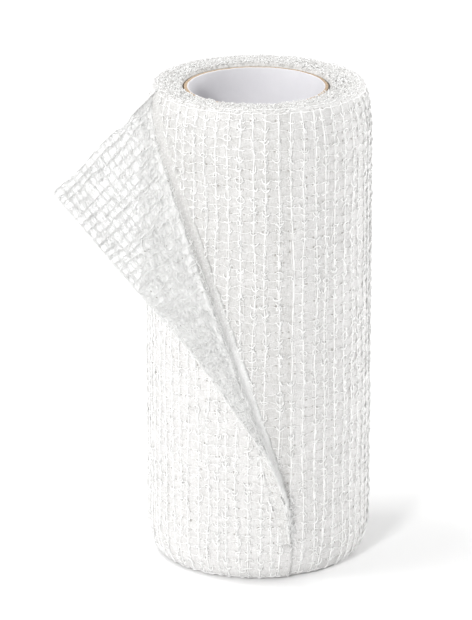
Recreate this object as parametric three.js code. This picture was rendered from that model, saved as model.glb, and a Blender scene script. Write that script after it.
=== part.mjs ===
// Cohesive gauze bandage, wound on a cardboard core and standing on its end,
// with the upper corner of its free end folded back over the roll
import * as THREE from 'three';

// Driving sizes, in millimetres and degrees.
// An azimuth is 0 at the front of the roll, on -Y, and grows towards its right, +X.
const bandageWidth = 100;
const rollRadius = 23.4;
const plyThickness = 0.6;
const cutAzimuth = 16.5;
const core = { radius: 14.65, wall: 0.9, height: 99.2, shift: -0.6 };
const boreGap = 0.3;
const flapThickness = 1;
const flapGap = 0.3;

// How the wound edges round off: inwards by inset over the height of drop
const topRounding = { inset: 2, drop: 12 };
const footRounding = { inset: 3.6, drop: 8.5 };

// The rims beside the bore: how far they stand back and how deep they are worn
const boreRim = { width: 0.9, depth: 0.5 };
const topDish = 0.3;

// How far round the roll the outer turn takes to thin out where the corner leaves it
const rampDegrees = 4;

// Faces round and along the solids
const columns = 96;
const coreColumns = 64;
const roundingSteps = 6;
const sideSteps = 11;
const flapRowsUp = 20;
const flapArcSteps = 8;
const flapFlatSteps = 6;

// The folded corner, a row for each height on the cloth: the azimuth where its thread leaves
// the roll, the radius that the thread turns on, and where its end at the cut edge hangs
const flapRows = [
  { height: 8, azimuth: 11, bend: 4, edgeX: 6.6, edgeY: -24.1, edgeZ: 8 },
  { height: 17, azimuth: 7, bend: 3.2, edgeX: 5.3, edgeY: -25.7, edgeZ: 17.4 },
  { height: 28, azimuth: 0, bend: 2.5, edgeX: 1.7, edgeY: -27.6, edgeZ: 28.2 },
  { height: 40, azimuth: -9, bend: 2.4, edgeX: -5.4, edgeY: -28.9, edgeZ: 39.6 },
  { height: 54, azimuth: -20, bend: 2.4, edgeX: -13.8, edgeY: -29.8, edgeZ: 52.4 },
  { height: 70, azimuth: -34.5, bend: 2.7, edgeX: -23.6, edgeY: -31, edgeZ: 64.8 },
  { height: 85, azimuth: -52, bend: 3, edgeX: -32.2, edgeY: -32.4, edgeZ: 75.8 },
  { height: 100, azimuth: -76, bend: 3.2, edgeX: -40.9, edgeY: -33.4, edgeZ: 87 },
];

const { degToRad, smoothstep, lerp } = THREE.MathUtils;

// Unit vectors of the roll at an azimuth: straight out, and round it towards the right
function outward(azimuth) {
  const angle = degToRad(azimuth);
  return new THREE.Vector3(Math.sin(angle), -Math.cos(angle), 0);
}

function onward(azimuth) {
  const angle = degToRad(azimuth);
  return new THREE.Vector3(Math.cos(angle), Math.sin(angle), 0);
}

// The table's value in a column at any height, on a smooth curve through its rows
function flapValue(column, height) {
  const last = flapRows.length - 1;
  let row = 0;
  while (row < last - 1 && height > flapRows[row + 1].height) row += 1;
  const slope = (index) => {
    const below = flapRows[Math.max(index - 1, 0)];
    const above = flapRows[Math.min(index + 1, last)];
    return (above[column] - below[column]) / (above.height - below.height);
  };
  const span = flapRows[row + 1].height - flapRows[row].height;
  const t = (height - flapRows[row].height) / span;
  const stay = (1 + 2 * t) * (1 - t) ** 2;
  const rise = t * (1 - t) ** 2 * span * slope(row);
  const fall = t ** 2 * (t - 1) * span * slope(row + 1);
  return stay * flapRows[row][column] + (1 - stay) * flapRows[row + 1][column] + rise + fall;
}

// Radius of the wound cloth with every turn in place and its edges not yet rounded.
// The last turn ends at the cut edge, so azimuths run through the full turn before it.
function woundRadius(azimuth) {
  return rollRadius + (plyThickness * (azimuth - cutAzimuth)) / 360;
}

// How far a rounded edge stands back at a height above its start
function roundingInset({ inset, drop }, above) {
  const share = THREE.MathUtils.clamp(above / drop, 0, 1);
  return inset * (1 - Math.sqrt(1 - share ** 2));
}

// 1 where the folded corner has left the turn below it bare, 0 elsewhere
function bareShare(azimuth, height) {
  const lowest = flapRows[0].height;
  if (height < lowest) return 0;
  const foldAzimuth = flapValue('azimuth', Math.min(height, bandageWidth));
  return smoothstep(azimuth, foldAzimuth - rampDegrees, foldAzimuth);
}

// The closed outline of the wound cloth at one azimuth: from the bore, over the flat foot,
// up the side and back across the top. Each point says how far it follows the shifted core.
function rollOutline(azimuth) {
  const boreRadius = core.radius + boreGap;
  const side = woundRadius(azimuth);
  const outline = [
    { radius: boreRadius, height: boreRim.depth, follow: 1 },
    { radius: boreRadius + boreRim.width, height: 0, follow: 1 },
  ];
  for (let step = 0; step <= roundingSteps; step += 1) {
    const angle = (Math.PI / 2) * (1 - step / roundingSteps);
    const radius = side - footRounding.inset * (1 - Math.cos(angle));
    outline.push({ radius, height: footRounding.drop * (1 - Math.sin(angle)), follow: 0 });
  }
  const sideHeight = bandageWidth - topRounding.drop - footRounding.drop;
  for (let step = 1; step < sideSteps; step += 1) {
    const height = footRounding.drop + (sideHeight * step) / sideSteps;
    outline.push({ radius: side - plyThickness * bareShare(azimuth, height), height, follow: 0 });
  }
  for (let step = 0; step <= roundingSteps; step += 1) {
    const angle = (Math.PI / 2) * (step / roundingSteps);
    const height = bandageWidth - topRounding.drop * (1 - Math.sin(angle));
    const bare = plyThickness * bareShare(azimuth, height);
    outline.push({ radius: side - bare - topRounding.inset * (1 - Math.cos(angle)), height, follow: 0 });
  }
  const rimRadius = side - topRounding.inset;
  outline.push({ radius: lerp(boreRadius, rimRadius, 0.65), height: bandageWidth - topDish, follow: 0.4 });
  outline.push({ radius: lerp(boreRadius, rimRadius, 0.35), height: bandageWidth - topDish, follow: 0.7 });
  outline.push({ radius: boreRadius + boreRim.width, height: bandageWidth - topDish / 2, follow: 1 });
  outline.push({ radius: boreRadius, height: bandageWidth - boreRim.depth, follow: 1 });
  return outline;
}

// A closed solid from a ring of closed outlines, all with the same number of points
function ringGeometry(rings) {
  const perRing = rings[0].length;
  const index = [];
  rings.forEach((ring, r) => {
    const here = r * perRing;
    const next = ((r + 1) % rings.length) * perRing;
    for (let p = 0; p < perRing; p += 1) {
      const q = (p + 1) % perRing;
      index.push(here + p, next + p, next + q);
      index.push(here + p, next + q, here + q);
    }
  });
  const geometry = new THREE.BufferGeometry().setFromPoints(rings.flat());
  geometry.setIndex(index);
  geometry.computeVertexNormals();
  return geometry;
}

// The wound cloth: one solid with its step at the cut edge and the bare turn beside the fold
function rollGeometry() {
  const rings = [];
  for (let column = 0; column < columns; column += 1) {
    const azimuth = cutAzimuth - 360 + (360 * (column + 1)) / columns;
    rings.push(rollOutline(azimuth).map(({ radius, height, follow }) => {
      const point = outward(azimuth).multiplyScalar(radius);
      return point.add(new THREE.Vector3(core.shift * follow, 0, height));
    }));
  }
  return ringGeometry(rings);
}

// The cardboard tube, a little shorter than the cloth is wide
function coreGeometry() {
  const inner = core.radius - core.wall;
  const profile = [
    new THREE.Vector2(inner, 0),
    new THREE.Vector2(core.radius, 0),
    new THREE.Vector2(core.radius, core.height),
    new THREE.Vector2(inner, core.height),
    new THREE.Vector2(inner, 0),
  ];
  const geometry = new THREE.LatheGeometry(profile, coreColumns);
  return geometry.rotateX(Math.PI / 2).translate(core.shift, 0, 0);
}

// Points along one thread of the folded corner: on an arc off the roll, then straight to the edge
function flapThread(height) {
  const azimuth = flapValue('azimuth', height);
  const bend = flapValue('bend', height);
  const lift = flapGap + flapThickness / 2;
  const inset = roundingInset(topRounding, height - (bandageWidth - topRounding.drop));
  const start = outward(azimuth).multiplyScalar(woundRadius(azimuth) - inset + lift);
  start.z = height;
  const along = onward(azimuth);
  const edge = new THREE.Vector3(...['edgeX', 'edgeY', 'edgeZ'].map((name) => flapValue(name, height)));
  const reach = edge.clone().sub(start);
  const ahead = reach.dot(along);
  const aside = reach.clone().addScaledVector(along, -ahead);
  const sideways = aside.length() - bend;
  const toCentre = Math.hypot(ahead, sideways);
  aside.normalize();
  let turn = Math.atan2(sideways, ahead) - Math.acos(Math.min(bend / toCentre, 1)) + Math.PI / 2;
  if (turn < 0) turn += 2 * Math.PI;
  const points = [];
  for (let step = 0; step <= flapArcSteps; step += 1) {
    const angle = (turn * step) / flapArcSteps;
    const point = start.clone().addScaledVector(along, bend * Math.sin(angle));
    points.push(point.addScaledVector(aside, bend * (1 - Math.cos(angle))));
  }
  const arcEnd = points[flapArcSteps];
  for (let step = 1; step <= flapFlatSteps; step += 1) {
    points.push(arcEnd.clone().lerp(edge, step / flapFlatSteps));
  }
  return points;
}

// Unit normal of a grid of points, from the neighbours on each side
function gridNormal(grid, i, j) {
  const up = grid[Math.min(i + 1, grid.length - 1)][j].clone().sub(grid[Math.max(i - 1, 0)][j]);
  const row = grid[i];
  const across = row[Math.min(j + 1, row.length - 1)].clone().sub(row[Math.max(j - 1, 0)]);
  return across.cross(up).normalize();
}

// The folded corner: one sheet that leaves the roll, turns over and hangs out to the left
function flapGeometry() {
  const grid = [];
  const lowest = flapRows[0].height;
  for (let i = 0; i <= flapRowsUp; i += 1) {
    grid.push(flapThread(lerp(lowest, bandageWidth, i / flapRowsUp)));
  }
  const perRow = grid[0].length;
  const faceSize = grid.length * perRow;
  const shifted = (side) => grid.flatMap((row, i) => row.map((point, j) => (
    point.clone().addScaledVector(gridNormal(grid, i, j), (side * flapThickness) / 2))));
  const at = (i, j) => i * perRow + j;
  const index = [];
  const quad = (a, b, c, d) => index.push(a, b, c, a, c, d);
  for (let i = 0; i < grid.length - 1; i += 1) {
    for (let j = 0; j < perRow - 1; j += 1) {
      quad(at(i, j), at(i, j + 1), at(i + 1, j + 1), at(i + 1, j));
      quad(faceSize + at(i, j), faceSize + at(i + 1, j), faceSize + at(i + 1, j + 1), faceSize + at(i, j + 1));
    }
  }
  const border = [];
  for (let j = 0; j < perRow - 1; j += 1) border.push(at(0, j));
  for (let i = 0; i < grid.length - 1; i += 1) border.push(at(i, perRow - 1));
  for (let j = perRow - 1; j > 0; j -= 1) border.push(at(grid.length - 1, j));
  for (let i = grid.length - 1; i > 0; i -= 1) border.push(at(i, 0));
  border.forEach((here, k) => {
    const next = border[(k + 1) % border.length];
    quad(here, faceSize + here, faceSize + next, next);
  });
  const geometry = new THREE.BufferGeometry().setFromPoints([...shifted(1), ...shifted(-1)]);
  geometry.setIndex(index);
  geometry.computeVertexNormals();
  return geometry;
}

function namedMesh(name, geometry, colour, roughness) {
  const material = new THREE.MeshStandardMaterial({ color: colour, roughness, metalness: 0 });
  const mesh = new THREE.Mesh(geometry, material);
  mesh.name = name;
  return mesh;
}

const bandageRoll = new THREE.Group();
bandageRoll.add(namedMesh('core', coreGeometry(), '#b79f86', 0.9));
bandageRoll.add(namedMesh('roll', rollGeometry(), '#eeeeec', 0.95));
bandageRoll.add(namedMesh('loose_end', flapGeometry(), '#f4f4f2', 0.95));

// The origin is on the floor, under the middle of everything that the roll and its flap cover
const reach = new THREE.Box3().setFromObject(bandageRoll);
const middle = reach.getCenter(new THREE.Vector3());
bandageRoll.position.set(-middle.x, -middle.y, -reach.min.z);

export default bandageRoll;
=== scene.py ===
import math

import bpy
import numpy as np
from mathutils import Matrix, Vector


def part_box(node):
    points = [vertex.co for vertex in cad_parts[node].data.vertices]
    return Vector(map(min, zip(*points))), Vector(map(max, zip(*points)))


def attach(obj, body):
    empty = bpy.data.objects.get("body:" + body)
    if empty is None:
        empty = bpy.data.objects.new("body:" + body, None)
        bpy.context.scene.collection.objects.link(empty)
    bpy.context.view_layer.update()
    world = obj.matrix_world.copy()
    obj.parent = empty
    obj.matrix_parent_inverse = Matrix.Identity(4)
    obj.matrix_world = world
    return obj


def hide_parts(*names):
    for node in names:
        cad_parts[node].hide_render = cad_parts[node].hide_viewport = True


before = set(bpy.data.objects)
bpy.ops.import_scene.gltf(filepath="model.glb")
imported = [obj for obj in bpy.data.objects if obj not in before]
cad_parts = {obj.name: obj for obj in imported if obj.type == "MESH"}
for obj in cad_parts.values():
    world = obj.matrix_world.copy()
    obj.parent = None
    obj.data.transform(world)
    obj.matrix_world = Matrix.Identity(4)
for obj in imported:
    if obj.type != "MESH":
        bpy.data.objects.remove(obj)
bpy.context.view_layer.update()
print("frame loaded")

# The wound cloth as the solid has it. Azimuth 0 is the front of the roll, on -Y, and
# grows towards its right, +X. Lengths are mm, angles are degrees.
rollForm = {
    "width": 100.0,
    "radius": 23.4,
    "ply": 0.6,
    "cutAzimuth": 16.5,       # where the cut end lies on the turn below it
    "topInset": 2.0, "topDrop": 12.0,        # how far its rounded edges draw in, over what height
    "footInset": 3.6, "footDrop": 8.5,
    "boreRadius": 14.95,
    "coreShift": -0.6,        # the core sits a little left of the middle
}

# The folded corner: for each height on the cloth, the azimuth where its thread leaves the
# roll, the radius it turns on, and where its end at the cut edge hangs.
cornerForm = {
    "height":  [8, 17, 28, 40, 54, 70, 85, 100],
    "azimuth": [11, 7, 0, -9, -20, -34.5, -52, -76],
    "bend":    [3, 2.4, 1.8, 1.5, 1.4, 1.4, 1.5, 1.6],
    "edgeX":   [6.6, 5.3, 1.7, -5.4, -13.8, -23.6, -32.2, -40.9],
    "edgeY":   [-24.1, -25.7, -27.6, -28.9, -29.8, -31, -32.4, -33.4],
    "edgeZ":   [8, 17.4, 28.2, 39.6, 52.4, 64.8, 75.8, 87],
    "lift": 0.15,             # how far off the turn below a thread starts
    "clearance": 0.05,        # and how far off it the foot of the corner lies
    "rises": (6, 20),         # heights over which the corner comes away from the roll
    "bareStep": 4.5,          # degrees over which the cloth beside the fold steps down a ply
}
cornerFoot = cornerForm["height"][0]

# Gauze: how far apart the warp rows lie up the roll and the weft threads round it, which
# stand closer in the slack end of the bandage than on the tighter turn below
weave = {
    "warpPitch": 1.9, "rows": 52,
    "slackPitch": 5.5, "tightPitch": 6.5,    # degrees from thread to thread
    "tightens": (18, 42),     # over these threads, counted back from the cut edge
    "threads": 60,            # on the last turn
    "bareThreads": 15,        # and on the part of the turn below that the fold bares
    "lean": 0.24, "leanSize": 17.0,          # mm that threads wander sideways
    "shake": 0.07, "shakeSize": 4.0,
    "sway": 0.3, "swaySize": 25.0,           # mm that rows wander, over degrees
}

coreLow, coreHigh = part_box("core")
axisX = (coreLow.x + coreHigh.x) * 500 - rollForm["coreShift"]
axisY = (coreLow.y + coreHigh.y) * 500
coreAside = np.array([rollForm["coreShift"], 0, 0])
upward = np.array([0.0, 0.0, 1.0])
scene = bpy.context.scene
girth = 147.0                 # mm round the outside of the roll
perMm = 2.45                  # degrees to a millimetre there
radian = 57.3                 # degrees
wholeTurn = 6.28              # radians, for phases and headings drawn at random


# Unit vectors of the roll at an azimuth: straight out, and on round it to the right
def outward(azimuth):
    angle = np.radians(azimuth)
    return np.stack([np.sin(angle), -np.cos(angle), np.zeros_like(angle)], -1)


def onward(azimuth):
    angle = np.radians(azimuth)
    return np.stack([np.cos(angle), np.sin(angle), np.zeros_like(angle)], -1)


def smoothStep(value, start, end):
    share = np.clip((value - start) / (end - start), 0, 1)
    return share * share * (3 - 2 * share)


# A column of the corner's table at any height, on the smooth curve that the solid has
def cornerValue(column, height):
    rows = np.array(cornerForm["height"], float)
    values = np.array(cornerForm[column], float)
    height = np.asarray(height, float)
    last = len(rows) - 1
    row = np.clip(np.searchsorted(rows, height, side="right") - 1, 0, last - 1)
    below = np.maximum(np.arange(last + 1) - 1, 0)
    above = np.minimum(np.arange(last + 1) + 1, last)
    slope = (values[above] - values[below]) / (rows[above] - rows[below])
    span = rows[row + 1] - rows[row]
    t = (height - rows[row]) / span
    stay = (1 + 2 * t) * (1 - t) ** 2
    rise = t * (1 - t) ** 2 * span * slope[row]
    fall = t ** 2 * (t - 1) * span * slope[row + 1]
    return stay * values[row] + (1 - stay) * values[row + 1] + rise + fall


# Radius of the outer turn, which ends at the cut edge and thins out under the fold
def turnRadius(azimuth):
    cut = rollForm["cutAzimuth"]
    wrapped = cut - np.mod(cut - azimuth, 360)
    return rollForm["radius"] + rollForm["ply"] * (wrapped - cut) / 360


# How far the rounded edges draw in at a height
def edgeInset(height):
    topStart = rollForm["width"] - rollForm["topDrop"]
    top = np.clip((height - topStart) / rollForm["topDrop"], 0, 1)
    foot = np.clip((rollForm["footDrop"] - height) / rollForm["footDrop"], 0, 1)
    return (rollForm["topInset"] * (1 - np.sqrt(1 - top ** 2))
            + rollForm["footInset"] * (1 - np.sqrt(1 - foot ** 2)))


# 1 on the turn that the fold bares, between the fold and the cut edge
def bareShare(azimuth, height):
    cut = rollForm["cutAzimuth"]
    wrapped = cut - np.mod(cut - azimuth, 360)
    fold = cornerValue("azimuth", np.clip(height, cornerFoot, rollForm["width"]))
    stepped = smoothStep(wrapped, fold, fold + cornerForm["bareStep"])
    return np.where(height < cornerFoot, 0.0, stepped)


def rollPoint(azimuth, height, proud=0.0):
    radius = turnRadius(azimuth) - rollForm["ply"] * bareShare(azimuth, height)
    radius = radius - edgeInset(height) + proud
    return outward(azimuth) * radius[..., None] + upward * height[..., None]


# The corner at a height up the cloth: its thread leaves the roll on an arc and then runs
# straight to the cut edge
def cornerPath(height):
    azimuth = cornerValue("azimuth", height)
    bend = cornerValue("bend", height)[..., None]
    radius = turnRadius(azimuth) - edgeInset(height) + cornerForm["lift"]
    start = outward(azimuth) * radius[..., None] + upward * height[..., None]
    along = onward(azimuth)
    edge = np.stack([cornerValue(name, height) for name in ("edgeX", "edgeY", "edgeZ")], -1)
    reach = edge - start
    ahead = (reach * along).sum(-1, keepdims=True)
    aside = reach - along * ahead
    gap = np.linalg.norm(aside, axis=-1, keepdims=True)
    aside = aside / gap
    sideways = gap - bend
    toCentre = np.hypot(ahead, sideways)
    turn = np.arctan2(sideways, ahead) - np.arccos(np.minimum(bend / toCentre, 1)) + math.pi / 2
    turn = np.where(turn < 0, turn + 2 * math.pi, turn)
    arcEnd = start + along * bend * np.sin(turn) + aside * bend * (1 - np.cos(turn))
    straight = np.linalg.norm(edge - arcEnd, axis=-1, keepdims=True)
    return start, along, aside, bend, turn, arcEnd, edge, straight


def cornerPoint(height, share):  # share of the way along the thread, 0 on the roll
    start, along, aside, bend, turn, arcEnd, edge, straight = cornerPath(height)
    travelled = share[..., None] * (bend * turn + straight)
    angle = np.minimum(travelled / bend, turn)
    onArc = start + along * bend * np.sin(angle) + aside * bend * (1 - np.cos(angle))
    further = np.maximum(travelled - bend * turn, 0) / straight
    point = onArc + (edge - arcEnd) * further
    # Near its foot the fold dies out on the roll
    azimuth = np.degrees(np.arctan2(point[..., 0], -point[..., 1]))
    azimuth = np.minimum(azimuth, rollForm["cutAzimuth"] - 0.01)
    radius = turnRadius(azimuth) - edgeInset(height) + cornerForm["clearance"]
    lying = outward(azimuth) * radius[..., None] + upward * height[..., None]
    return lying + (point - lying) * smoothStep(height, *cornerForm["rises"])[..., None]


# Radius and angle of a thread's arc, and the length of its straight part
def threadRun(height):
    start, along, aside, bend, turn, arcEnd, edge, straight = cornerPath(height)
    return bend[..., 0], turn[..., 0], straight[..., 0]


def arcShare(height, angle):  # how far along the thread its arc has turned by an angle
    bend, turn, straight = threadRun(height)
    return np.minimum(angle, turn) * bend / (bend * turn + straight)


def cornerNormal(height, share):  # points away from the front of the net
    low = np.maximum(height - 0.4, cornerFoot)
    high = np.minimum(height + 0.4, rollForm["width"])
    up = cornerPoint(high, share) - cornerPoint(low, share)
    across = cornerPoint(height, share + 0.01) - cornerPoint(height, np.maximum(share - 0.01, 0))
    normal = np.cross(across, up)
    return normal / np.linalg.norm(normal, axis=-1, keepdims=True)


# Even noise with features of about the given sizes, repeating at its borders
def crumple(shape, steps, sizes, seed):
    noise = np.fft.fft2(np.random.default_rng(seed).normal(size=shape))
    first = np.fft.fftfreq(shape[0], steps[0])[:, None] * sizes[0]
    second = np.fft.fftfreq(shape[1], steps[1])[None, :] * sizes[1]
    soft = np.fft.ifft2(noise * np.exp(-2.2 * (first ** 2 + second ** 2))).real
    return soft / soft.std()


# A value between the entries of a table
def tableValue(table, first, second):
    first = np.clip(first, 0, table.shape[0] - 1.001)
    second = np.clip(second, 0, table.shape[1] - 1.001)
    i, j = np.floor(first).astype(int), np.floor(second).astype(int)
    s, t = first - i, second - j
    low = table[i, j] * (1 - t) + table[i, j + 1] * t
    high = table[i + 1, j] * (1 - t) + table[i + 1, j + 1] * t
    return low * (1 - s) + high * s


# Azimuths once round the roll, from under the cut edge up to it
def roundTheRoll(columns):
    return rollForm["cutAzimuth"] - 360 * np.arange(columns - 1, -1, -1) / columns


# Where the weft threads stand, numbered back from the cut edge, and how the threads wander
threadNumbers = np.arange(weave["threads"] + weave["bareThreads"])
pitches = (weave["slackPitch"] + (weave["tightPitch"] - weave["slackPitch"])
           * smoothStep(threadNumbers, *weave["tightens"]))
threadAzimuth = rollForm["cutAzimuth"] + pitches[0] - np.cumsum(pitches)
tableSteps = 240              # up a thread, or round a row
wanderStep = rollForm["width"] / tableSteps
swayStep = 360 / tableSteps
alone = 0.01                  # so small a size that no thread follows its neighbour
leanTable = (crumple((80, tableSteps), (1, wanderStep), (alone, weave["leanSize"]), 21) * weave["lean"]
             + crumple((80, tableSteps), (1, wanderStep), (alone, weave["shakeSize"]), 22) * weave["shake"])
swayTable = crumple((60, tableSteps), (1, swayStep), (2.5, weave["swaySize"]), 24) * weave["sway"]
swayTable = np.concatenate([swayTable, swayTable[:, :1]], 1)


def threadLean(thread, height):  # in degrees
    return tableValue(leanTable, thread, height / wanderStep) / rollForm["radius"] * radian


def rowSway(row, azimuth):
    return tableValue(swayTable, row, np.mod(azimuth, 360) / swayStep)


def rowHeight(row, azimuth):
    return (row + 0.5) * weave["warpPitch"] + rowSway(row, azimuth)


# The number of the thread and of the row at a place on the cloth, whole on a thread
def weavePlace(azimuth, height):
    bare = bareShare(azimuth, height)
    numbers = []
    for turn in (0, 1):
        unwound = azimuth - 360 * turn
        near = np.interp(-unwound, -threadAzimuth, threadNumbers)
        there = unwound - threadLean(near, height)
        numbers.append(np.interp(-there, -threadAzimuth, threadNumbers) - weave["threads"] * turn)
    row = height / weave["warpPitch"] - 0.5
    row = row - rowSway(row, azimuth) / weave["warpPitch"]
    return numbers[0] * (1 - bare) + numbers[1] * bare, row


def foldHeight(azimuth):  # where the fold crosses an azimuth
    heights = np.linspace(cornerFoot, rollForm["width"], 400)
    return float(np.interp(-azimuth, -cornerValue("azimuth", heights), heights))


# Faces of tubes whose rings of points follow each other, with both ends closed
def tubeFaces(count, points, sides):
    index = np.arange(count * points * sides).reshape(count, points, sides)
    here, onwards = index[:, :-1], index[:, 1:]
    walls = np.stack([here, onwards, np.roll(onwards, -1, 2), np.roll(here, -1, 2)], -1)
    ends = np.concatenate([index[:, 0], index[:, -1, ::-1]])
    return [walls.reshape(-1, 4), ends]


# Tubes round many lines at once, each with the same number of points. Yarn that isn't
# twisted lies flat, so its thickness is a share of its width.
def threadTubes(lines, normals, radii, sides, thickness=1.0):
    count, points = lines.shape[:2]
    along = np.gradient(lines, axis=1)
    along /= np.linalg.norm(along, axis=-1, keepdims=True)
    aside = np.cross(along, normals)
    aside /= np.linalg.norm(aside, axis=-1, keepdims=True)
    top = np.cross(aside, along) * thickness
    turn = 2 * math.pi * np.arange(sides) / sides - math.pi / 2
    ring = np.cos(turn)[:, None] * aside[:, :, None] + np.sin(turn)[:, None] * top[:, :, None]
    radii = np.broadcast_to(radii, (count, points))
    skin = lines[:, :, None] + ring * radii[:, :, None, None]
    return skin.reshape(-1, 3), tubeFaces(count, points, sides)


# A closed grid of points that joins up in both directions
def ringShape(points):
    rows, columns = points.shape[:2]
    index = np.arange(rows * columns).reshape(rows, columns)
    right, up = np.roll(index, -1, 1), np.roll(index, -1, 0)
    faces = np.stack([index, right, np.roll(right, -1, 0), up], -1)
    return points.reshape(-1, 3), [faces.reshape(-1, 4)]


# Short strands laid with a bow at random: how far on each point is, from -1 to 1, and how
# far it lies across the cloth and along it
def bowedStrands(rng, heading, sizes, bowing, points):
    size = rng.uniform(*sizes, heading.shape)
    t = np.linspace(-1, 1, points)[None]
    bow = rng.normal(size=heading.shape) * bowing * (1 - t ** 2)
    across = size * t * np.cos(heading) - bow * np.sin(heading)
    along = size * t * np.sin(heading) + bow * np.cos(heading)
    return t, across, along


def joined(parts):
    points, faces, start = [], [], 0
    for partPoints, partFaces in parts:
        points.append(partPoints)
        faces += [group + start for group in partFaces]
        start += len(partPoints)
    return np.concatenate(points), faces


# Turns a shape, its points in mm and its faces, into a piece that rides on the one body
def makePiece(name, shape, material, replaced=None, values=None):
    points, faces = shape
    mesh = bpy.data.meshes.new(name)
    placed = (points + np.array([axisX, axisY, 0.0])) * 0.001
    corners = np.concatenate([group.ravel() for group in faces])
    sizes = np.concatenate([np.full(len(group), group.shape[1]) for group in faces])
    mesh.vertices.add(len(placed))
    mesh.vertices.foreach_set("co", placed.astype(np.float32).ravel())
    mesh.loops.add(len(corners))
    mesh.loops.foreach_set("vertex_index", corners.astype(np.int32))
    mesh.polygons.add(len(sizes))
    mesh.polygons.foreach_set("loop_start", (np.cumsum(sizes) - sizes).astype(np.int32))
    mesh.polygons.foreach_set("use_smooth", np.ones(len(sizes), bool))
    for label, data in (values or {}).items():
        layer = mesh.attributes.new(label, "FLOAT_VECTOR", "POINT")
        layer.data.foreach_set("vector", data.astype(np.float32).ravel())
    mesh.update(calc_edges=True)
    mesh.materials.append(material)
    piece = bpy.data.objects.new(name, mesh)
    scene.collection.objects.link(piece)
    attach(piece, "root")
    if replaced:
        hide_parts(replaced)
    print(name, "made,", int((sizes - 2).sum()), "triangles")
    return piece


def linear(hexColour):  # an sRGB colour as a linear one
    parts = [int(hexColour[i:i + 2], 16) / 255 for i in (1, 3, 5)]
    return [c / 12.92 if c < 0.04045 else ((c + 0.055) / 1.055) ** 2.4 for c in parts] + [1]


def cleared(owner):  # a material or world, with no nodes yet
    owner.use_nodes = True
    owner.node_tree.nodes.clear()
    return owner


# Adds a node with its settings, its inputs and the stops of its ramp. An input is a value,
# a socket, or a node whose first output it takes.
def addNode(owner, kind, inputs=None, stops=None, **settings):
    node = owner.node_tree.nodes.new("ShaderNode" + kind)
    for name, value in settings.items():
        setattr(node, name, value)
    for name, value in (inputs or {}).items():
        if isinstance(value, bpy.types.Node):
            value = value.outputs[0]
        if isinstance(value, bpy.types.NodeSocket):
            owner.node_tree.links.new(value, node.inputs[name])
        else:
            node.inputs[name].default_value = value
    for number, (position, colour) in enumerate(stops or []):
        marks = node.color_ramp.elements
        if number == len(marks):
            marks.new(position)
        marks[number].position = position
        marks[number].color = linear(colour)
    return node


def newMaterial(name):  # with no nodes yet but the place on the object
    material = cleared(bpy.data.materials.new(name))
    return material, addNode(material, "TexCoord").outputs["Object"]


def perMetre(size):  # the scale of a pattern whose features have a size in mm
    return 1000 / size


# Crepe gauze dipped in latex: many short fibres stuck together, so it is chalky white and
# finely mottled, with no gloss. Small meshes stay open beside the weft threads, and the shade of the ply
# below, seen through them, is painted on as dark spots.
latexDip = {
    "tuft": 0.3125, "streak": 0.3846,        # mm, twice as coarse as real ones, so that they show
    "meshStep": (2.5, 1.9, 0.0),             # mm from one weft thread and warp row to the next
    "besideThread": (-0.6, 0.0, 0.0),        # mm from a weft thread to the mesh on either side
    "meshEdge": 0.3, "meshCore": 0.1,        # mm from its middle where it starts and is darkest
    "shift": 2.381,                          # mm over which the places of the meshes shift
    "meshes": (0.35, 0.95), "darkest": 0.8,  # chance of a mesh, and how dark the best is
    "meshShadeTone": "#8b867f",
}


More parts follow.
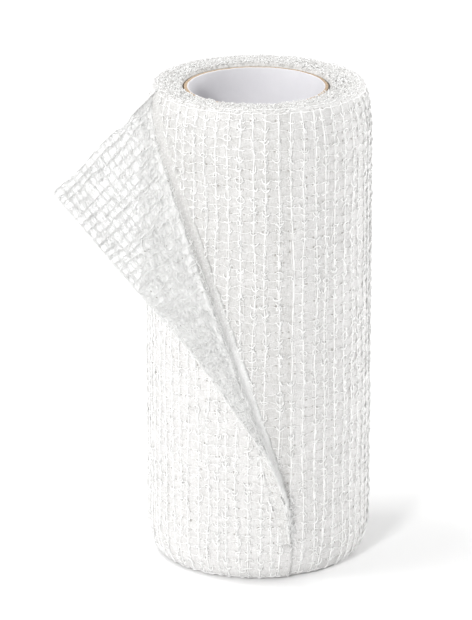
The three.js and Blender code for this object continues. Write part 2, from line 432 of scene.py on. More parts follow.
def dippedGauze(name, tones):
    material, place = newMaterial(name)
    tufts = addNode(material, "TexNoise", {
        "Vector": place, "Scale": perMetre(latexDip["tuft"]), "Detail": 2.0, "Roughness": 0.6})
    upright = addNode(material, "VectorMath", {0: place, 1: (1.0, 1.0, 0.3)}, operation="MULTIPLY")
    streaks = addNode(material, "TexNoise", {
        "Vector": upright, "Scale": perMetre(latexDip["streak"]), "Detail": 2.0, "Roughness": 0.5})
    fibres = addNode(material, "Mix", {"Factor": 0.35, "A": tufts, "B": streaks}, data_type="FLOAT")
    # The third value of the weave attribute is painted shade, or painted light where it is below zero,
    # added to the fibres' tone
    weaveAndShade = addNode(material, "Attribute", attribute_name="weaveAndShade").outputs["Vector"]
    paintedShade = addNode(material, "SeparateXYZ", {"Vector": weaveAndShade}).outputs["Z"]
    shadedFibres = addNode(material, "Math", {0: fibres, 1: paintedShade}, operation="ADD")
    colour = addNode(material, "ValToRGB", {"Fac": shadedFibres}, stops=list(zip((0.35, 0.5, 0.65, 1.0), tones)))
    # How far it is to the middle of the nearest mesh, with the meshes shifted about a little
    uneven = addNode(material, "TexNoise", {
        "Vector": place, "Scale": perMetre(latexDip["shift"]), "Detail": 1.0})
    spot = addNode(material, "VectorMath", {0: uneven.outputs["Color"], 1: (0.3, 0.6, 0.0), 2: weaveAndShade},
                   operation="MULTIPLY_ADD")
    for operation, amount in (("ADD", (0.35, 0.2, 0.0)), ("FRACTION", (0.0, 0.0, 0.0)),
                              ("SUBTRACT", (0.5, 0.5, 0.0)), ("ABSOLUTE", (0.0, 0.0, 0.0))):
        spot = addNode(material, "VectorMath", {0: spot, 1: amount}, operation=operation)
    inMm = addNode(material, "VectorMath", {0: spot, 1: latexDip["meshStep"], 2: latexDip["besideThread"]},
                   operation="MULTIPLY_ADD")
    far = addNode(material, "VectorMath", {0: inMm}, operation="LENGTH").outputs["Value"]
    opened = addNode(material, "MapRange", {
        "Value": far, "From Min": latexDip["meshEdge"], "From Max": latexDip["meshCore"]})
    # Each mesh is open by a chance of its own
    counted = addNode(material, "VectorMath", {0: weaveAndShade, 1: (2.0, 1.0, 0.0), 2: (0.0, 0.5, 0.0)},
                      operation="MULTIPLY_ADD")
    number = addNode(material, "VectorMath", {0: counted}, operation="FLOOR")
    chance = addNode(material, "TexWhiteNoise", {"Vector": number})
    wide = addNode(material, "MapRange", {
        "Value": chance, "From Min": latexDip["meshes"][0], "From Max": latexDip["meshes"][1],
        "To Max": latexDip["darkest"]})
    # Painted shade: the dark spots stand for the shaded ply below, seen through the open meshes
    meshShade = addNode(material, "Math", {0: opened, 1: wide}, operation="MULTIPLY")
    shadedColour = addNode(material, "Mix", {0: meshShade, 6: colour, 7: linear(latexDip["meshShadeTone"])},
                     data_type="RGBA")
    bump = addNode(material, "Bump", {"Height": fibres, "Strength": 0.5, "Distance": 0.0002})
    surface = addNode(material, "BsdfPrincipled", {
        "Base Color": shadedColour.outputs[2], "Roughness": 0.9, "IOR": 1.5, "Specular IOR Level": 0.25,
        "Sheen Weight": 0.1, "Sheen Roughness": 0.6, "Normal": bump})
    addNode(material, "OutputMaterial", {"Surface": surface})
    return material


# Textured polyamide and viscose yarn: loose bleached filaments with a slight silky sheen,
# brighter than the cloth below. Its greyer copy is painted shade, for the strands of the folded corner. A
# bundle of filaments is 0.1 mm, too fine to show, and is drawn nearly four times as coarse.
filamentBundle = 0.3846


def texturedYarn(name, tones):
    material, place = newMaterial(name)
    strands = addNode(material, "TexNoise", {
        "Vector": place, "Scale": perMetre(filamentBundle), "Detail": 2.0, "Roughness": 0.5})
    colour = addNode(material, "ValToRGB", {"Fac": strands}, stops=list(zip((0.3, 0.5, 0.7), tones)))
    bump = addNode(material, "Bump", {"Height": strands, "Strength": 0.4, "Distance": 0.0001})
    surface = addNode(material, "BsdfPrincipled", {
        "Base Color": colour, "Roughness": 0.65, "IOR": 1.53, "Specular IOR Level": 0.4,
        "Sheen Weight": 0.2, "Sheen Roughness": 0.5, "Normal": bump})
    addNode(material, "OutputMaterial", {"Surface": surface})
    return material


# Spiral-wound kraft board: the cut ends of the tube show brown pulp, and its inside is
# lined with smooth white paper that is faintly cloudy. Both sizes are in mm.
pulpFibre = 0.6667
linerCloud = 6.25


def linedBoard():
    material, place = newMaterial("kraft board tube with white liner")
    fibres = addNode(material, "TexNoise", {
        "Vector": place, "Scale": perMetre(pulpFibre), "Detail": 4.0, "Roughness": 0.65})
    kraft = addNode(material, "ValToRGB", {"Fac": fibres},
                    stops=[(0.3, "#a98f74"), (0.5, "#bfa78c"), (0.7, "#cfbba2")])
    cloud = addNode(material, "TexNoise", {
        "Vector": place, "Scale": perMetre(linerCloud), "Detail": 3.0, "Roughness": 0.5})
    liner = addNode(material, "ValToRGB", {"Fac": cloud},
                    stops=[(0.3, "#e4e3e7"), (0.5, "#e7e6e9"), (0.7, "#eae9ec")])
    lined = addNode(material, "Attribute", attribute_name="lined").outputs["Fac"]
    colour = addNode(material, "Mix", {0: lined, 6: kraft, 7: liner}, data_type="RGBA")
    bump = addNode(material, "Bump", {"Height": fibres, "Strength": 0.25, "Distance": 0.0001})
    surface = addNode(material, "BsdfPrincipled", {
        "Base Color": colour.outputs[2], "Roughness": 0.7, "IOR": 1.5, "Specular IOR Level": 0.4,
        "Normal": bump})
    addNode(material, "OutputMaterial", {"Surface": surface})
    return material


# Matt white acrylic sweep, lit a little from below, so that it photographs as pure white,
# with clouds of 33 mm where it was wiped
wipeCloud = 33.33


def litSweep():
    material, place = newMaterial("matt white lit acrylic sweep")
    cloud = addNode(material, "TexNoise", {"Vector": place, "Scale": perMetre(wipeCloud), "Detail": 2.0})
    colour = addNode(material, "ValToRGB", {"Fac": cloud}, stops=[(0.3, "#fafafa"), (0.7, "#fcfcfc")])
    surface = addNode(material, "BsdfPrincipled", {
        "Base Color": colour, "Roughness": 0.95, "Specular IOR Level": 0.1,
        "Emission Color": linear("#ffffff"), "Emission Strength": studio["floorGlow"]})
    addNode(material, "OutputMaterial", {"Surface": surface})
    return material


# Painted light and shade: the gauze on the roll is painted greyer, for the plies that shade each other, and
# a single ply is painted lighter, for the light that comes through it
shadedGauze = dippedGauze("latex dipped crepe gauze painted grey for shade", ("#e2e1e0", "#d7d6d5", "#cbcac8", "#a3a29f"))
litGauze = dippedGauze("single ply of latex dipped gauze painted light", ("#fafaf9", "#f5f5f4", "#eeeeed", "#c6c5c3"))
yarn = texturedYarn("bleached textured yarn", ("#f6f6f5", "#fafaf9", "#fdfdfc"))
# A greyer copy of the yarn: painted shade for the strands of the folded corner
shadedYarn = texturedYarn("textured yarn painted grey for shade", ("#eeeeed", "#f4f4f3", "#f9f9f8"))
board = linedBoard()
print("materials made")

# The wound cloth: the ground behind the threads, with the step of its cut end
cloth = {
    "columns": 340, "sideRows": 200, "roundRows": 12,
    "top": 99.9, "faces": (99.2, 0.8),       # heights of the rim, and of both ends behind the coils
    "depth": 0.15,            # how far the ground lies behind the outer threads
    "tuft": 0.012, "tuftSize": 0.8,
    "pucker": 0.015, "puckerSize": 5.0,
    "ridge": 0.035,           # between the warp rows
    "bareShade": 0.1, "tuftHighlight": 0.03,      # painted shade, greyer on the bare turn beside the fold, and painted light, lighter on a tuft
}


def makeWoundCloth():
    columns = cloth["columns"]
    azimuth = roundTheRoll(columns)
    roundAngle = np.linspace(math.pi / 2, 0, cloth["roundRows"], endpoint=False)
    footHeights = rollForm["footDrop"] * (1 - np.sin(roundAngle))
    sideHeights = np.linspace(rollForm["footDrop"], cloth["top"], cloth["sideRows"])
    heights = np.concatenate([footHeights, sideHeights])
    height, around = np.meshgrid(heights, azimuth, indexing="ij")
    shape = height.shape
    steps = (rollForm["width"] / shape[0], girth / columns)
    tufts = crumple(shape, steps, (cloth["tuftSize"], cloth["tuftSize"]), 11)
    puckers = crumple(shape, steps, (cloth["puckerSize"] * 0.7, cloth["puckerSize"]), 12)
    thread, row = weavePlace(around, height)
    relief = cloth["tuft"] * tufts + cloth["pucker"] * puckers - cloth["ridge"] * np.cos(2 * math.pi * row)
    calm = smoothStep(height, 0, 3) * smoothStep(-height, -100, -98.5)      # at both edges
    rings = [rollPoint(around, height, relief * calm - cloth["depth"])]
    # Painted shade on the bare turn that the fold shades, and painted light where the tufts stand out
    clothShade = cloth["bareShade"] * bareShare(around, height) - cloth["tuftHighlight"] * tufts * calm
    weaveAndShade = [np.stack([thread, row, clothShade], -1)]
    inner = outward(azimuth) * (rollForm["boreRadius"] + 0.05) + coreAside
    for z in cloth["faces"]:
        rings.append((inner + upward * z)[None])
        weaveAndShade.append(np.full((1, columns, 3), 0.5))
    makePiece("woundCloth", ringShape(np.concatenate(rings)), shadedGauze, replaced="roll",
              values={"weaveAndShade": np.concatenate(weaveAndShade)})


makeWoundCloth()

# Weft threads up the roll: two thin strands that turn round each other, and a stray one
weft = {
    "points": 100, "radius": 0.085,
    "apart": 0.09, "twist": 7.0,             # mm of height to a turn
    "low": 0.6, "high": 99.6, "proud": -0.08,
    "strayRadius": 0.055,
}


def makeWeftThreads():
    rng = np.random.default_rng(23)
    lines, normals, radii = [], [], []
    strayLines, strayNormals = [], []
    for thread in threadNumbers:
        home = threadAzimuth[thread]
        low, high = weft["low"], weft["high"]
        if thread >= weave["threads"]:
            home += 360
            low = foldHeight(home + 1.5)
        elif home > cornerForm["azimuth"][-1]:
            high = foldHeight(home)
        height = np.linspace(low, high, weft["points"])
        lean = home + threadLean(thread, height)
        phase = rng.uniform(0, wholeTurn) + 2 * math.pi * height / weft["twist"]
        gap = weft["apart"] * (1 + 0.5 * np.sin(height / 4 + rng.uniform(0, wholeTurn)))
        for strand in (0, math.pi):
            across = gap * np.cos(phase + strand)
            proud = weft["proud"] + 0.04 * np.sin(phase + strand)
            lines.append(rollPoint(lean + across * perMm, height, proud))
            normals.append(outward(lean))
            uneven = 1 + 0.25 * np.sin(height * 1.9 + rng.uniform(0, wholeTurn))
            radii.append(weft["radius"] * uneven)
        stray = height[::2]
        drift = tableValue(leanTable, (thread * 11 + 5) % 78, stray / wanderStep) * 1.5
        across = lean[::2] + (drift + rng.uniform(-0.3, 0.3)) * perMm
        strayLines.append(rollPoint(across, stray, -0.1 + 0.04 * np.sin(stray * 1.3 + thread)))
        strayNormals.append(outward(across))
    makePiece("weftThreads", joined([
        threadTubes(np.array(lines), np.array(normals), np.array(radii), 4),
        threadTubes(np.array(strayLines), np.array(strayNormals), weft["strayRadius"], 3)]), yarn)


makeWeftThreads()

# Curls of the warp yarn: it is crimped, and springs out where it crosses a weft thread
curl = {
    "points": 8, "radius": 0.12,
    "width": 0.8, "rise": 0.55,
    "none": 0.05, "two": 0.45,               # share of the crossings with no curl or with two
    "hanging": 0.7,                          # share that hang down in the middle
}


# In the plane of the cloth, across and up: an arch, a hook, a wave, a loop and a flat bow
def makeCurls(rng, count):
    t = np.linspace(-1, 1, curl["points"])
    shapes = np.stack([
        np.stack([t, 1 - 1.6 * t ** 2], -1),
        np.stack([np.sin(t * 1.9) * 0.9, 1 - 1.7 * (t + 0.15) ** 2], -1),
        np.stack([t * 0.95, 1.1 * np.sin(t * 3.0)], -1),
        np.stack([t - 0.75 * np.sin(math.pi * t), 1.1 * np.cos(math.pi * t)], -1),
        np.stack([t * 1.15, 0.35 * np.cos(2.4 * t)], -1)])
    kind = rng.choice(5, size=count, p=[0.34, 0.24, 0.14, 0.13, 0.15])
    shape = shapes[kind] + rng.normal(size=(count, curl["points"], 2)) * 0.05
    width = curl["width"] * rng.uniform(0.6, 1.25, count) * rng.choice([-1, 1], count)
    rise = curl["rise"] * rng.uniform(0.5, 1.4, count)
    rise *= rng.choice([-1, 1], count, p=[curl["hanging"], 1 - curl["hanging"]])
    tilt = rng.normal(size=count)[:, None] * 0.3
    across = shape[..., 0] * width[:, None]
    up = shape[..., 1] * rise[:, None]
    leaned = across * np.cos(tilt) - up * np.sin(tilt)
    raised = across * np.sin(tilt) + up * np.cos(tilt)
    proud = 0.1 - 0.12 * t[None] ** 2 + rng.uniform(-0.03, 0.06, (count, 1))
    return leaned, raised, proud


def makeWarpCurls():
    rng = np.random.default_rng(31)
    azimuths, heights = [], []
    for thread in threadNumbers:
        for row in range(weave["rows"]):
            home = threadAzimuth[thread] + (360 if thread >= weave["threads"] else 0)
            wanted = rng.choice(3, p=[curl["none"], 1 - curl["none"] - curl["two"], curl["two"]])
            for _ in range(wanted):
                height = float(rowHeight(row, home)) + rng.normal() * 0.16
                azimuth = home + float(threadLean(thread, height)) + rng.normal() * 0.4
                bared = float(bareShare(azimuth, height)) > 0.5
                if bared == (thread >= weave["threads"]):
                    azimuths.append(azimuth)
                    heights.append(height)
    leaned, raised, proud = makeCurls(rng, len(azimuths))
    around = np.array(azimuths)[:, None] + leaned * perMm
    level = np.clip(np.array(heights)[:, None] + raised, 0.5, 99.7)
    lines = rollPoint(around, level, proud)
    taper = 1 - 0.4 * np.linspace(-1, 1, curl["points"])[None] ** 4
    radii = curl["radius"] * taper * rng.uniform(0.75, 1.25, (len(azimuths), 1))
    makePiece("warpCurls", threadTubes(lines, outward(around), radii, 3), yarn)


makeWarpCurls()

# Between its curls the warp yarn lies deeper, as a wavy line right round the roll
warp = {
    "perThread": 3, "start": 17.0,           # points, from an azimuth just past the cut
    "radius": 0.07, "proud": -0.14, "wave": 0.25,
}


def makeWarpThreads():
    rng = np.random.default_rng(33)
    around = np.linspace(0, 360, weave["threads"] * warp["perThread"] + 1)[:-1] + warp["start"]
    lines, normals = [], []
    for row in range(weave["rows"]):
        wave = warp["wave"] * np.sin(around * math.pi / 6.0 + rng.uniform(0, wholeTurn))
        level = rowHeight(row, around) + wave + rng.normal(size=len(around)) * 0.07
        proud = warp["proud"] + 0.03 * np.sin(around * 1.7 + row)
        lines.append(rollPoint(around, np.clip(level, 0.7, 99.5), proud))
        normals.append(outward(around))
    makePiece("warpThreads", threadTubes(np.array(lines), np.array(normals), warp["radius"], 3), yarn)


makeWarpThreads()

# The folded corner: an open net of the same threads, each a flat bundle of fine strands
corner = {
    "wefts": 17, "weftStrands": 3, "weftRadius": 0.115, "weftSpread": 0.26,
    "warpStrands": 6, "warpRadius": 0.115, "warpSpread": 0.48,
    "edgeRow": 99.4,          # height of the selvedge
    "top": 99.5,
    "flatness": 0.45,         # of the strands
    "bridges": 0.38,          # mm from one fine strand between two rows to the next
    "bridgeRadius": 0.065,
    "filaments": 1100, "filamentRadius": 0.055,
    "foldFront": 2.02,        # radians of the fold up to its rightmost line, at azimuth 0
    "foldTo": 2.2,            # and up to where its meshes are shut
    # mm that the foot of the fold clings to the roll ahead of it, at a height
    "foldFoot": [(8, 1.0), (25, 1.5), (40, 1.6), (60, 1.1)],
    "foldShade": [(8, 0.15), (45, 0.12), (68, 0.45)],            # painted light and shade on the fold: how grey it is at a height
    "shutTo": -24.2,          # x up to which meshes are shut beyond the fold, past the roll's side
    "shutShade": 0.42,         # painted shade: how much greyer the shut meshes are below a height of 28 mm
    "flat": (0.038, 0.092),   # m, the box round the cut triangle
    "area": 0.00175,          # m2, half of that box, as its sides are nearly straight
}


def cornerShare(thread, height):  # where a weft thread crosses a warp thread of the corner
    fold = cornerValue("azimuth", height)
    azimuth = threadAzimuth[thread]
    if thread > 0:
        azimuth = azimuth + threadLean(thread, height)
    return 1 - (rollForm["cutAzimuth"] - azimuth) / (rollForm["cutAzimuth"] - fold)


def cornerLine(height, share, lift):
    height = np.clip(height, cornerFoot, rollForm["width"])
    share = np.maximum(share, 0)
    normal = cornerNormal(height, share)
    return cornerPoint(height, share) + normal * lift[..., None], normal


def cornerLength(height):  # of a thread from the roll to the cut edge
    bend, turn, straight = threadRun(np.asarray(height, float))
    return np.maximum(bend * turn + straight, 2)


def cornerTube(height, share, lift, radius):
    line, normal = cornerLine(height, share, lift)
    return threadTubes(line[None], normal[None], radius, 3, corner["flatness"])


def cornerWefts(rng):
    tubes = []
    for thread in range(corner["wefts"]):
        low = max(foldHeight(threadAzimuth[thread]), cornerFoot)
        height = np.linspace(low, corner["top"], max(8, int((corner["top"] - low) * 0.75)))
        share = np.clip(cornerShare(thread, height), 0, 1)
        length = cornerLength(height)
        phase = rng.uniform(0, wholeTurn) + 2 * math.pi * height / rng.uniform(6, 9)
        for strand in range(corner["weftStrands"]):
            turn = phase + strand * 2.1 + 0.8 * np.sin(height * 0.9 + strand)
            aside = corner["weftSpread"] * np.cos(turn) / length
            tubes.append(cornerTube(height, share + aside, 0.08 * np.sin(turn), corner["weftRadius"]))
    return tubes


def cornerWarps(rng, rows):
    tubes = []
    for row in list(rows) + [corner["edgeRow"] / weave["warpPitch"] - 0.5]:
        height = (row + 0.5) * weave["warpPitch"]
        share = np.linspace(0, 1, int(10 + 1.5 * cornerLength(height)))
        fold = float(cornerValue("azimuth", height))
        crossing = (1 - share) * (rollForm["cutAzimuth"] - fold) / weave["slackPitch"]
        sway = 0.14 * np.sin(crossing * 0.9 + rng.uniform(0, wholeTurn)) + rowSway(row, crossing * 9)
        for strand in range(corner["warpStrands"]):
            turn = rng.uniform(1.0, 2.4) * crossing + rng.uniform(0, wholeTurn)
            loose = 0.6 + 0.4 * np.abs(np.sin(math.pi * crossing))
            level = height + sway + corner["warpSpread"] * loose * np.sin(turn)
            radius = corner["warpRadius"] * rng.uniform(0.7, 1.2)
            tubes.append(cornerTube(level, share, 0.1 * np.cos(2 * turn), radius))
    return tubes


# Fine strands from row to row, and curls on the crossings
def cornerBridges(rng, rows):
    shares, levels = [], []
    for row in rows[:-1]:
        height = (row + 0.5) * weave["warpPitch"]
        length = float(cornerLength(height))
        count = int(length / corner["bridges"])
        shares += list(rng.uniform(0.03, 1, count))
        levels += [height] * count
    shares, levels = np.array(shares), np.array(levels)
    t = np.linspace(-0.1, 1.1, 5)[None]
    slant = rng.normal(size=(len(shares), 1)) * 0.35
    bow = rng.normal(size=(len(shares), 1)) * 0.5 * t * (1 - t)
    share = shares[:, None] + (slant * (t - 0.5) + bow) / cornerLength(levels)[:, None]
    line, normal = cornerLine(levels[:, None] + weave["warpPitch"] * t, np.clip(share, 0, 1),
                              0.1 * np.sin(3 * t + slant * 9))
    radii = corner["bridgeRadius"] * rng.uniform(0.6, 1.4, (len(shares), 1))
    return threadTubes(line, normal, radii, 3)


def cornerCurls(rng, rows):
    shares, levels = [], []
    for thread in range(corner["wefts"]):
        for row in rows:
            height = (row + 0.5) * weave["warpPitch"]
            share = float(cornerShare(thread, height))
            if 0 <= share <= 1 and rng.uniform() < 0.8:
                shares.append(share)
                levels.append(height + rng.normal() * 0.15)
    shares, levels = np.array(shares), np.array(levels)
    leaned, raised, proud = makeCurls(rng, len(shares))
    share = shares[:, None] + leaned * 0.8 / cornerLength(levels)[:, None]
    line, normal = cornerLine(levels[:, None] + raised * 0.8, np.clip(share, 0, 1), -0.8 * proud - 0.1)
    return threadTubes(line, normal, 0.085, 3)


def cornerFilaments(rng):
    count = corner["filaments"]
    height = 100 - 90 * (1 - np.sqrt(rng.uniform(0, 1, (count, 1))))
    heading = rng.uniform(0, wholeTurn, (count, 1))
    t, across, up = bowedStrands(rng, heading, (0.8, 1.7), 0.35, 6)
    share = np.clip(rng.uniform(0, 1, (count, 1)) + across / cornerLength(height), 0, 1)
    line, normal = cornerLine(height + up, share, 0.1 * np.sin(3 * t + heading))
    return threadTubes(line, normal, corner["filamentRadius"], 3)


# A thin closed sheet between two grids, with what its material reads at each point
def thinSheet(front, back, weaveAndShade):
    rings = np.concatenate([front, back[:, ::-1]], 1)
    weaveAndShade = np.concatenate([weaveAndShade, weaveAndShade[:, ::-1]], 1)
    return rings.reshape(-1, 3), tubeFaces(1, *rings.shape[:2]), weaveAndShade.reshape(-1, 3)


# Round the fold the cloth is slack and its meshes are shut. It clings to the turn below a
# little ahead of the fold, so it rises from there as a thin closed strip.
def foldedCloth():
    height, step = np.meshgrid(np.linspace(8.1, 99.9, 160), np.arange(12), indexing="ij")
    bumps = crumple(height.shape, (0.76, 0.5), (1.2, 0.8), 43)[..., None] * 0.07
    azimuth = cornerValue("azimuth", height)
    ridge = np.clip(corner["foldFront"] + np.radians(azimuth), 1.1, 2.1)
    angle = ridge + (corner["foldTo"] - ridge) * np.maximum(step - 5, 0) / 6
    strip = cornerPoint(height, arcShare(height, angle))
    clinging = np.interp(height, *zip(*corner["foldFoot"]))
    ahead = (cornerValue("bend", height) + clinging) / rollForm["radius"] * radian
    foot = rollPoint(azimuth + ahead, height, -0.12)
    rise = np.minimum(step / 5, 1)[..., None]
    sag = 0.3 * np.sin(math.pi * rise)
    facing = onward(azimuth) + outward(azimuth)
    strip = foot + (strip - foot) * rise + facing * (bumps - sag)
    weaveAndShade = np.full(strip.shape, 0.5)
    # Painted light and shade on the fold, set by height
    weaveAndShade[..., 2] = np.interp(height, *zip(*corner["foldShade"]))
    return thinSheet(strip, strip - facing * 0.08, weaveAndShade)


# Beyond the fold the meshes open bit by bit, so a thin closed web lies between the threads
def shutWeb():
    height, step = np.meshgrid(np.linspace(8.5, 99.6, 180), np.linspace(0, 1, 20), indexing="ij")
    level, shares = np.meshgrid(height[:, 0], np.linspace(0, 0.995, 80), indexing="ij")
    end = (shares * (cornerPoint(level, shares)[..., 0] > corner["shutTo"])).max(1)
    end = end + crumple((len(end), 2), (0.5, 1), (1.5, 0.1), 45)[:, 0] * 0.6 / cornerLength(height[:, 0])
    start = arcShare(height, corner["foldTo"] - 0.2) * smoothStep(height, 26, 36)
    share = start + (np.clip(end[:, None], start + 0.02, 0.995) - start) * step
    behind = 0.1 * np.minimum(step * 6, 1)
    bumps = crumple(height.shape, (0.5, 0.5), (1.0, 1.0), 46) * 0.03
    web, normal = cornerLine(height, share, bumps + behind)
    thread = (1 - share) * (rollForm["cutAzimuth"] - cornerValue("azimuth", height)) / weave["slackPitch"]
    # Painted shade on the low part of the web
    webShade = corner["shutShade"] * smoothStep(-height, -42, -28)
    weaveAndShade = np.stack([thread, height / weave["warpPitch"] - 0.5, webShade], -1)
    return thinSheet(web, web - normal * 0.06, weaveAndShade)


def makeLooseEnd():
    rng = np.random.default_rng(41)
    rows = range(4, weave["rows"])
    foldPoints, foldFaces, foldWeaveAndShade = foldedCloth()
    webPoints, webFaces, webWeaveAndShade = shutWeb()
    parts = cornerWefts(rng) + cornerWarps(rng, rows) + [(foldPoints, foldFaces), (webPoints, webFaces)]
    points, faces = joined(parts)
    weaveAndShade = np.full((len(points), 3), 0.5)
    weaveAndShade[-len(foldWeaveAndShade) - len(webWeaveAndShade):] = np.concatenate([foldWeaveAndShade, webWeaveAndShade])
    piece = makePiece("looseEnd", (points, faces), shadedYarn, replaced="loose_end",
                      values={"weaveAndShade": weaveAndShade})
    # The fold and the web take the single ply gauze, painted light
    piece.data.materials.append(litGauze)
    coats = np.zeros(len(piece.data.polygons), int)
    shutFaces = sum(len(group) for part in parts[-2:] for group in part[1])
    coats[-shutFaces:] = 1    # the closed cloth is ground, the rest is yarn
    piece.data.polygons.foreach_set("material_index", coats)
    fuzz = joined([cornerBridges(rng, rows), cornerCurls(rng, rows), cornerFilaments(rng)])
    makePiece("looseEndFuzz", fuzz, shadedYarn)


makeLooseEnd()

# The coils that show on both ends of the roll, with loops of yarn standing up from them
coils = {
    "columns": 400, "topRows": 44, "footRows": 30,
    "turns": 11, "thickness": 6.3,           # mm from the bore to the rim
    "girth": 115.0, "perMm": 3.1,            # mm round them halfway out, and degrees to a mm there
    "topLevel": 99.72, "footLevel": 0.28,    # mean heights, and those of their hidden undersides
    "topUnder": 98.6, "footUnder": 1.4,
    "groove": 0.14,           # between one turn's edge and the next
    "tuft": 0.14, "tuftSize": 0.5,
    "pucker": 0.08, "puckerSize": 3.0,
    "topLoops": 2400, "footLoops": 700, "loopRise": 0.4, "loopRadius": 0.08,
}


def coilPoint(azimuth, share, proud, end):
    bore = rollForm["boreRadius"] + 0.02
    rim = turnRadius(azimuth) - rollForm[end + "Inset"] - 0.05
    radius = bore + (rim - bore) * share
    height = coils["topLevel"] + proud if end == "top" else coils["footLevel"] - proud
    point = outward(azimuth) * radius[..., None] + upward * height[..., None]
    point[..., 0] += rollForm["coreShift"] * (1 - share)
    return point


def makeCoils(end, seed):
    columns, rows = coils["columns"], coils[end + "Rows"]
    azimuth = roundTheRoll(columns)
    share, around = np.meshgrid(np.linspace(0, 1, rows), azimuth, indexing="ij")
    steps = (coils["thickness"] / rows, coils["girth"] / columns)
    tufts = crumple(share.shape, steps, (coils["tuftSize"], coils["tuftSize"]), seed + 1)
    puckers = crumple(share.shape, steps, (coils["puckerSize"] * 0.4, coils["puckerSize"] * 1.5), seed + 2)
    turns = share * coils["turns"] - around / 360 + crumple(share.shape, steps, (4, 30), seed + 3) * 0.08
    ridge = np.abs(np.sin(math.pi * turns)) ** 0.7
    worn = smoothStep(share, 0, 0.1) * smoothStep(-share, -1, -0.93)
    relief = coils["groove"] * (ridge - 0.75) + coils["tuft"] * tufts + coils["pucker"] * puckers
    proud = np.minimum(relief * worn, 0.26) - 0.5 * (1 - worn)
    face = coilPoint(around, share, proud, end)
    under = face[[-1, 0]].copy()
    under[..., 2] = coils[end + "Under"]
    under[0] -= outward(azimuth) * 0.4
    points = np.concatenate([face, under])
    weaveAndShade = np.full((len(points), columns, 3), 0.5)
    weaveAndShade[..., 2] = 0
    weaveAndShade[:rows, :, 2] = 0.12 + 0.2 * (1 - ridge) - 0.08 * tufts      # greyer all over the ends, partly for their porous cut edges and partly as painted shade; painted shade in the grooves and painted light on the tufts
    points, faces = ringShape(points)
    if end == "top":
        faces = [faces[0][:, ::-1]]
    makePiece(end + "Coils", (points, faces), shadedGauze, values={"weaveAndShade": weaveAndShade})


def makeLoops(end, seed):
    rng = np.random.default_rng(seed)
    count = coils[end + "Loops"]
    place = rng.uniform(0.04, 1.0, (count, 1)) ** 0.8
    heading = rng.normal(size=(count, 1)) * 0.9
    t, across, out = bowedStrands(rng, heading, (0.12, 0.5), 0.3, 7)
    around = rng.uniform(0, 360, (count, 1)) + across * coils["perMm"]
    share = np.clip(place + out / coils["thickness"], 0.02, 1.0)
    proud = coils["loopRise"] * (1 - t ** 2) * rng.uniform(0.3, 1.2, (count, 1)) - 0.12
    if end == "foot":         # where they would go through the table
        proud = np.minimum(proud, 0.2)
    lines = coilPoint(around, share, proud, end)
    makePiece(end + "Loops", threadTubes(lines, outward(around), coils["loopRadius"], 3), yarn)


for end, seed in (("top", 51), ("foot", 61)):
    makeCoils(end, seed)
    makeLoops(end, seed + 4)

# The selvedge: the strands that bind the edge of each turn, seen at the rim of the last one
rim = {
    "points": 320, "radius": 0.09,
    "strands": [(99.3, -0.05), (99.7, -0.3), (99.85, -0.75)],   # height, and how proud
    "shake": 0.12,
}


def makeRimThreads():
    rng = np.random.default_rng(71)
    around = np.linspace(rollForm["cutAzimuth"] - 360, rollForm["cutAzimuth"], rim["points"])
    lines, normals = [], []
    for level, proud in rim["strands"]:
        shake = crumple((2, rim["points"]), (1, 0.46), (alone, 1.3), rng.integers(1000)) * rim["shake"]
        height = np.minimum(level + shake[0] * 0.7, 99.95)
        lines.append(rollPoint(around, height, proud + shake[1]))
        normals.append(np.broadcast_to(upward, (rim["points"], 3)))
    makePiece("rimThreads", threadTubes(np.array(lines), np.array(normals), rim["radius"], 4), yarn)


makeRimThreads()

# The cardboard core, a little out of round, with rounded and slightly ragged ends
tube = {
    "radius": 14.65, "wall": 0.9, "height": 99.2,
    "edge": 0.14,             # radius of the rounding
    "sunk": 0.03,             # how far the end lies below its rounded rims
    "columns": 168, "girth": 90.0,
    "wobble": 0.04, "ragged": 0.03,
}


# The outline of its wall, up the outside and down the inside: distance from the axis,
# height, and 1 where the liner covers it
def wallOutline():
    outer, top, edge, sunk = [tube[name] for name in ("radius", "height", "edge", "sunk")]
    inner = outer - tube["wall"]
    flat = tube["wall"] - 2 * edge
    angles = [math.radians(angle) for angle in (90, 60, 30, 0)]
    rounding = [(edge * (1 - math.cos(a)), edge * (1 - math.sin(a))) for a in angles]
    outline = [(outer - aside, drop, 0) for aside, drop in rounding]
    outline += [(outer, z, 0) for z in np.linspace(6, top - 6, 9)]
    outline += [(outer - aside, top - drop, 0) for aside, drop in rounding[::-1]]
    outline += [(outer - edge - flat * share, top - sunk, 0) for share in (0.3, 0.6, 0.75)]
    outline += [(inner + aside, top - drop, 1) for aside, drop in rounding]
    outline += [(inner, z, 1) for z in np.linspace(top - 3, 3, 26)]
    outline += [(inner + aside, drop, 1) for aside, drop in rounding[::-1]]
    outline += [(inner + edge + flat * share, sunk, 0) for share in (0.25, 0.5)]
    return np.array(outline)


def makeCoreTube():
    outline = wallOutline()
    rows, columns = len(outline), tube["columns"]
    azimuth = 360 * np.arange(columns) / columns
    steps = (4.0, tube["girth"] / columns)
    wobble = crumple((rows, columns), steps, (40, 25), 81) * tube["wobble"]
    radius = outline[:, :1] + wobble
    height = np.broadcast_to(outline[:, 1:2], radius.shape) * 1.0
    ragged = crumple((1, columns), (1, tube["girth"] / columns), (alone, 1.2), 82) * tube["ragged"]
    height = np.clip(height + np.where(height > 50, ragged, 0), 0, tube["height"])
    points = outward(np.broadcast_to(azimuth, radius.shape)) * radius[..., None]
    points = points + upward * height[..., None] + coreAside
    lined = np.repeat(outline[:, 2], columns * 3)
    makePiece("coreTube", ringShape(points), board, replaced="core",
              values={"lined": lined})


makeCoreTube()

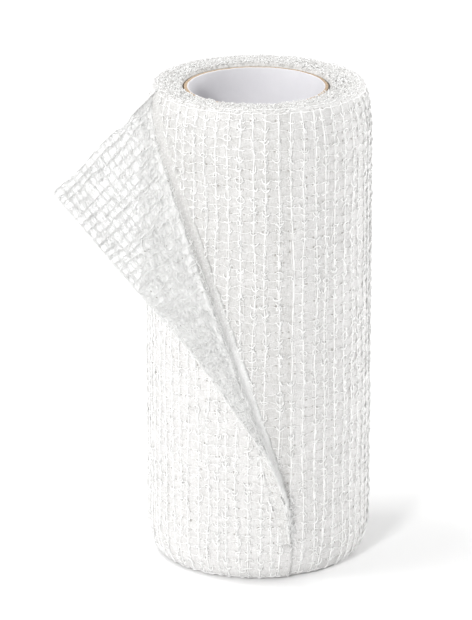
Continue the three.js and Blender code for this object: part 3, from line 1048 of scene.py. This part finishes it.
# Floor, light and camera
studio = {
    "floorSize": 12.0, "floorGlow": 0.02,
    "skyStrength": 0.57, "skyLean": 0.5,     # brighter on the left by this share
    "lampAim": (0.01, 0, 0.05),
    "lamps": [                # place, size and power
        ("key", (-0.862, -1.994, 1.064), 0.4, 27.5),
        ("top", (-0.5, 0, 1.56), 0.45, 10.0),
        ("fill", (1.375, 0.788, 0.328), 0.7, 20.5),
    ],
}
view = {
    "aim": (0.004414, 0.005333, 0.051303),
    "elevation": 18.466, "distance": 1.0,
    "lens": 282.4,
}

bpy.ops.mesh.primitive_plane_add(size=studio["floorSize"], location=(0, 0, 0))
floor = bpy.context.object
floor.name = "sweep"
floor.data.materials.append(litSweep())

world = cleared(bpy.data.worlds.new("white tent"))
direction = addNode(world, "TexCoord").outputs["Generated"]
sideways = addNode(world, "SeparateXYZ", {"Vector": direction}).outputs["X"]
strength = addNode(world, "Math", {
    0: sideways, 1: -studio["skyLean"] * studio["skyStrength"], 2: studio["skyStrength"]},
    operation="MULTIPLY_ADD")
sky = addNode(world, "Background", {"Color": (1, 1, 1, 1), "Strength": strength})
addNode(world, "OutputWorld", {"Surface": sky})
scene.world = world


# Puts a lamp or the camera at a place, turned to what it aims at
def stand(name, data, place, aim):
    holder = bpy.data.objects.new(name, data)
    holder.location = place
    holder.rotation_mode = "QUATERNION"
    holder.rotation_quaternion = (Vector(aim) - Vector(place)).to_track_quat("-Z", "Y")
    scene.collection.objects.link(holder)
    return holder


for name, place, size, power in studio["lamps"]:
    softbox = bpy.data.lights.new(name, "AREA")
    softbox.shape = "SQUARE"
    softbox.size = size
    softbox.energy = power
    stand(name, softbox, place, studio["lampAim"])

tilt = math.radians(view["elevation"])
back = Vector((0, -math.cos(tilt), math.sin(tilt)))
cameraData = bpy.data.cameras.new("camera")
cameraData.lens = view["lens"]
cameraData.clip_start = 0.05
cameraData.clip_end = 20
camera = stand("camera", cameraData, Vector(view["aim"]) + back * view["distance"], view["aim"])
scene.camera = camera
scene.view_settings.view_transform = "Standard"
print("studio set")
